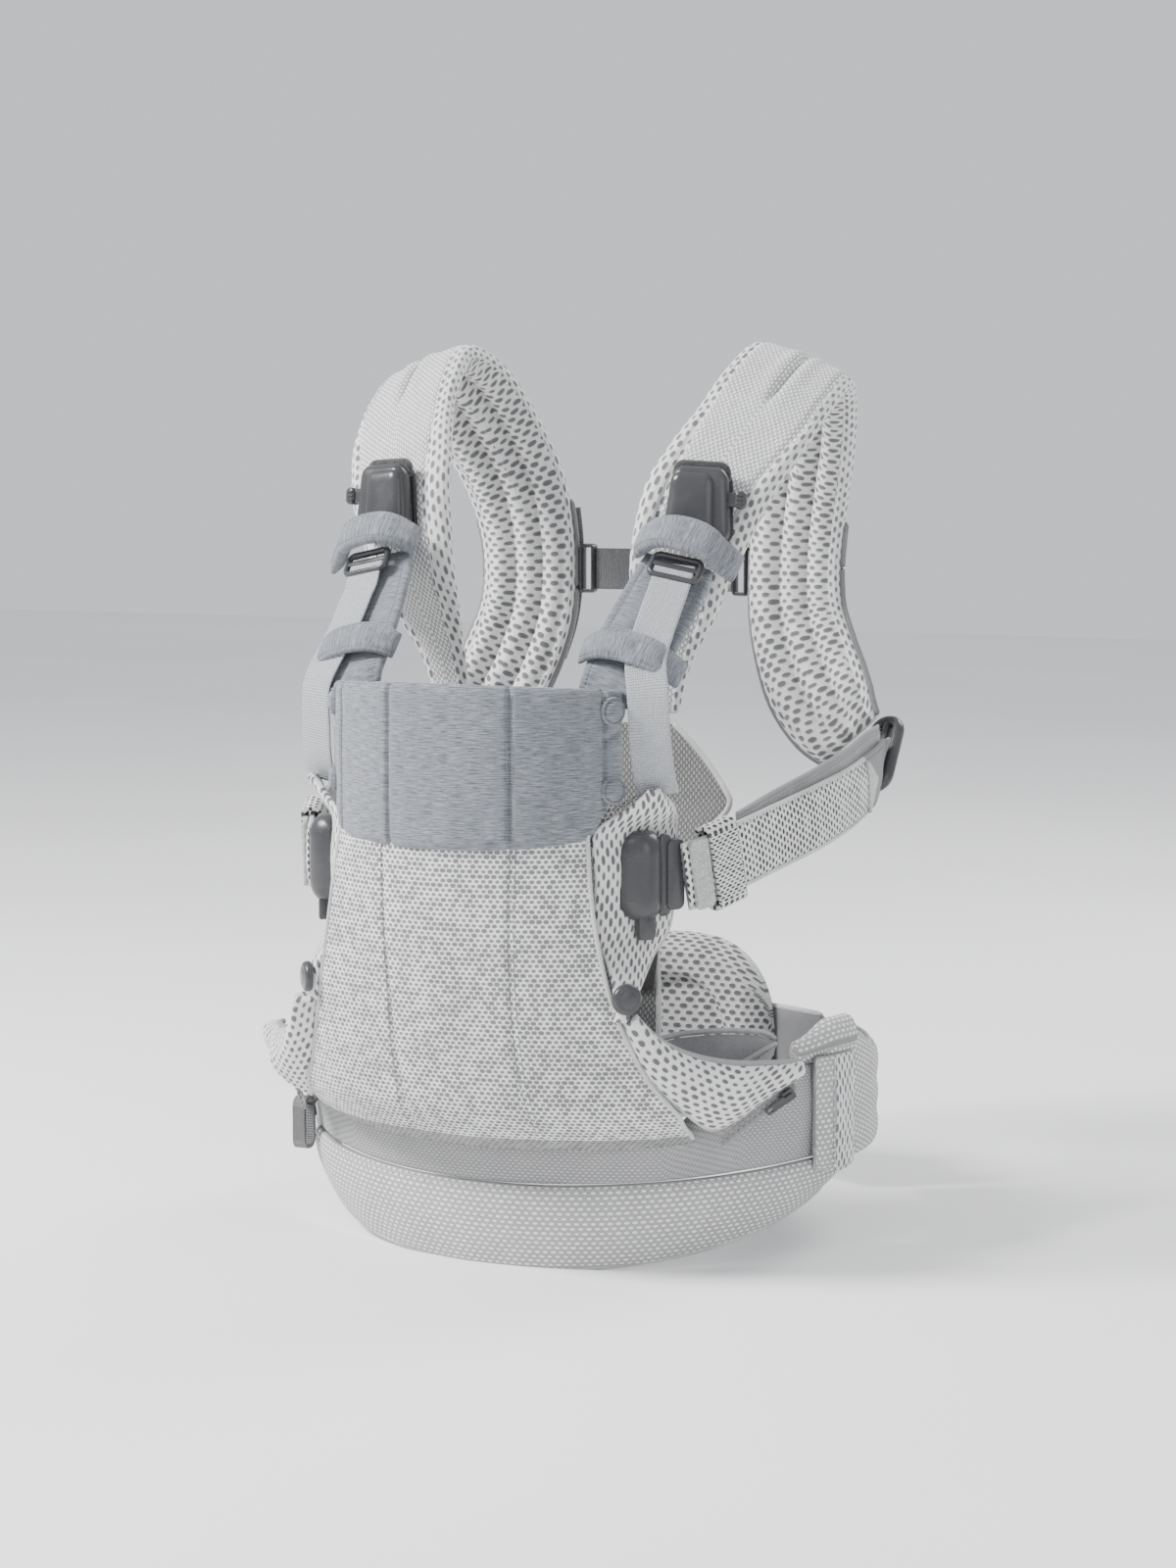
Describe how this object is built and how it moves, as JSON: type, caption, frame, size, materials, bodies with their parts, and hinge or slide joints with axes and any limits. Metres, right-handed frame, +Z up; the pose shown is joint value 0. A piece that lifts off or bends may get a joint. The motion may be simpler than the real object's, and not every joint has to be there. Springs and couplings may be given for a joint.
{
  "type": "soft baby carrier",
  "caption": "Soft front baby carrier with padded waist belt, mesh front panel, folded head flap, padded shoulder straps, side straps and plastic buckles.",
  "frame": {"origin": "centre of the waist loop, level with the middle of the belt's lower band", "axes": "+Z up along the wearer's spine, -Y the way the wearer faces, +X to the right of the picture as seen from the front"},
  "size_m": [0.382, 0.397, 0.5722],
  "materials": {
    "light_mesh": "light grey spacer mesh with long dark holes",
    "woven_mesh": "grey woven mesh with rows of white dashes",
    "panel_mesh": "fine hexagonal mesh",
    "band_mesh": "darker grey fine mesh",
    "jersey": "blue-grey melange jersey",
    "lining": "smooth grey facing",
    "light_webbing": "light grey ribbed webbing",
    "dark_webbing": "dark grey ribbed webbing",
    "dark_plastic": "matt dark grey moulding",
    "padding_foam": "soft open-cell foam, stored light"
  },
  "bodies": {
    "carrier": {"arm_keepers": "jersey", "arm_left": "jersey", "arm_right": "jersey", "arm_webbing_left": "light_webbing", "arm_webbing_right": "light_webbing", "back_belt": "band_mesh", "belly_panel": "woven_mesh", "belt_band": "band_mesh", "belt_finger_loop": "light_webbing", "belt_rolls": "woven_mesh", "belt_side_panels": "band_mesh", "belt_wing_cuffs": "light_mesh", "belt_wings": "band_mesh", "chest_bib": "woven_mesh", "front_panel": "panel_mesh", "hook_patch": "dark_webbing", "leg_linings": "lining", "leg_wing_left": "light_mesh", "leg_wing_right": "light_mesh", "lumbar_cover": "light_mesh", "lumbar_foam": "padding_foam", "panel_yoke": "lining", "shoulder_strap_left": "light_mesh", "shoulder_strap_right": "light_mesh", "side_buckle_plates": "dark_plastic", "side_wing_left": "light_mesh", "side_wing_right": "light_mesh", "snap_studs": "dark_plastic", "strap_foams": "padding_foam", "strap_rails": "dark_webbing", "stud_posts": "dark_plastic", "top_buckle_body_left": "dark_plastic", "top_buckle_body_right": "dark_plastic", "waist_buckle_socket": "dark_plastic", "waist_webbing": "dark_webbing", "zip_tapes": "dark_webbing"},
    "head_flap": {"head_flap_cover": "jersey", "head_flap_foam": "padding_foam", "flap_snap_caps": "jersey"},
    "top_lever_right": {"top_buckle_lever_right": "dark_plastic"},
    "side_strap_right": {"side_strap_right": "light_mesh", "side_strap_keeper_right": "light_mesh", "side_buckle_shell_right": "dark_plastic"},
    "side_button_right": {"side_buckle_button_right": "dark_plastic"},
    "adjuster_right": {"adjuster_right": "dark_plastic"},
    "ladder_right": {"ladder_buckle_right": "dark_plastic"},
    "zip_right": {"zip_slider_right": "dark_plastic"},
    "stud_cap_right": {"stud_cap_right": "dark_plastic"},
    "top_lever_left": {"top_buckle_lever_left": "dark_plastic"},
    "side_strap_left": {"side_strap_left": "light_mesh", "side_strap_keeper_left": "light_mesh", "side_buckle_shell_left": "dark_plastic"},
    "side_button_left": {"side_buckle_button_left": "dark_plastic"},
    "adjuster_left": {"adjuster_left": "dark_plastic"},
    "ladder_left": {"ladder_buckle_left": "dark_plastic"},
    "zip_left": {"zip_slider_left": "dark_plastic"},
    "stud_cap_left": {"stud_cap_left": "dark_plastic"},
    "back_strap": {"back_strap": "dark_webbing", "back_sliders": "dark_plastic"},
    "waist_prongs": {"waist_buckle_prongs": "dark_plastic"}
  },
  "joints": [
    {"name": "head_flap_hinge", "type": "hinge", "parent": "carrier", "child": "head_flap", "pos_m": [0, -0.19, 0.33], "axis": [-1, 0, 0], "range_deg": [0, 115]},
    {"name": "top_lever_press_right", "type": "slide", "parent": "carrier", "child": "top_lever_right", "axis": [-0.9701, -0.2351, 0.0596], "range_m": [0, 0.003], "stiffness_N_per_m": 400},
    {"name": "side_strap_swing_right", "type": "hinge", "parent": "carrier", "child": "side_strap_right", "pos_m": [0.162, 0.104, 0.256], "axis": [0, 0, 1], "range_deg": [0, 60]},
    {"name": "side_button_press_right", "type": "slide", "parent": "side_strap_right", "child": "side_button_right", "axis": [0, 0, 1], "range_m": [0, 0.003], "stiffness_N_per_m": 400},
    {"name": "adjuster_tilt_right", "type": "hinge", "parent": "carrier", "child": "adjuster_right", "pos_m": [0.162, 0.104, 0.261], "axis": [0, 0.6, 0.8], "range_deg": [0, 20]},
    {"name": "ladder_tilt_right", "type": "hinge", "parent": "carrier", "child": "ladder_right", "pos_m": [0.105, -0.113, 0.391], "axis": [0.971, 0.1303, -0.2003], "range_deg": [0, 20]},
    {"name": "zip_run_right", "type": "slide", "parent": "carrier", "child": "zip_right", "axis": [-0.5938, -0.5938, -0.5429], "range_m": [0, 0.036]},
    {"name": "stud_cap_pull_right", "type": "slide", "parent": "carrier", "child": "stud_cap_right", "axis": [0.7507, -0.6606, 0], "range_m": [0, 0.006]},
    {"name": "top_lever_press_left", "type": "slide", "parent": "carrier", "child": "top_lever_left", "axis": [0.9701, -0.2351, 0.0596], "range_m": [0, 0.003], "stiffness_N_per_m": 400},
    {"name": "side_strap_swing_left", "type": "hinge", "parent": "carrier", "child": "side_strap_left", "pos_m": [-0.162, 0.104, 0.256], "axis": [0, 0, -1], "range_deg": [0, 60]},
    {"name": "side_button_press_left", "type": "slide", "parent": "side_strap_left", "child": "side_button_left", "axis": [0, 0, 1], "range_m": [0, 0.003], "stiffness_N_per_m": 400},
    {"name": "adjuster_tilt_left", "type": "hinge", "parent": "carrier", "child": "adjuster_left", "pos_m": [-0.162, 0.104, 0.261], "axis": [0, 0.6, 0.8], "range_deg": [-20, 0]},
    {"name": "ladder_tilt_left", "type": "hinge", "parent": "carrier", "child": "ladder_left", "pos_m": [-0.105, -0.113, 0.391], "axis": [-0.971, 0.1303, -0.2003], "range_deg": [-20, 0]},
    {"name": "zip_run_left", "type": "slide", "parent": "carrier", "child": "zip_left", "axis": [0.5938, -0.5938, -0.5429], "range_m": [0, 0.036]},
    {"name": "stud_cap_pull_left", "type": "slide", "parent": "carrier", "child": "stud_cap_left", "axis": [-0.7507, -0.6606, 0], "range_m": [0, 0.006]},
    {"name": "back_strap_height", "type": "slide", "parent": "carrier", "child": "back_strap", "axis": [0, 0, 1], "range_m": [-0.025, 0.025]},
    {"name": "waist_buckle_part", "type": "slide", "parent": "carrier", "child": "waist_prongs", "axis": [-0.6443, -0.7647, 0], "range_m": [0, 0.02]}
  ]
}
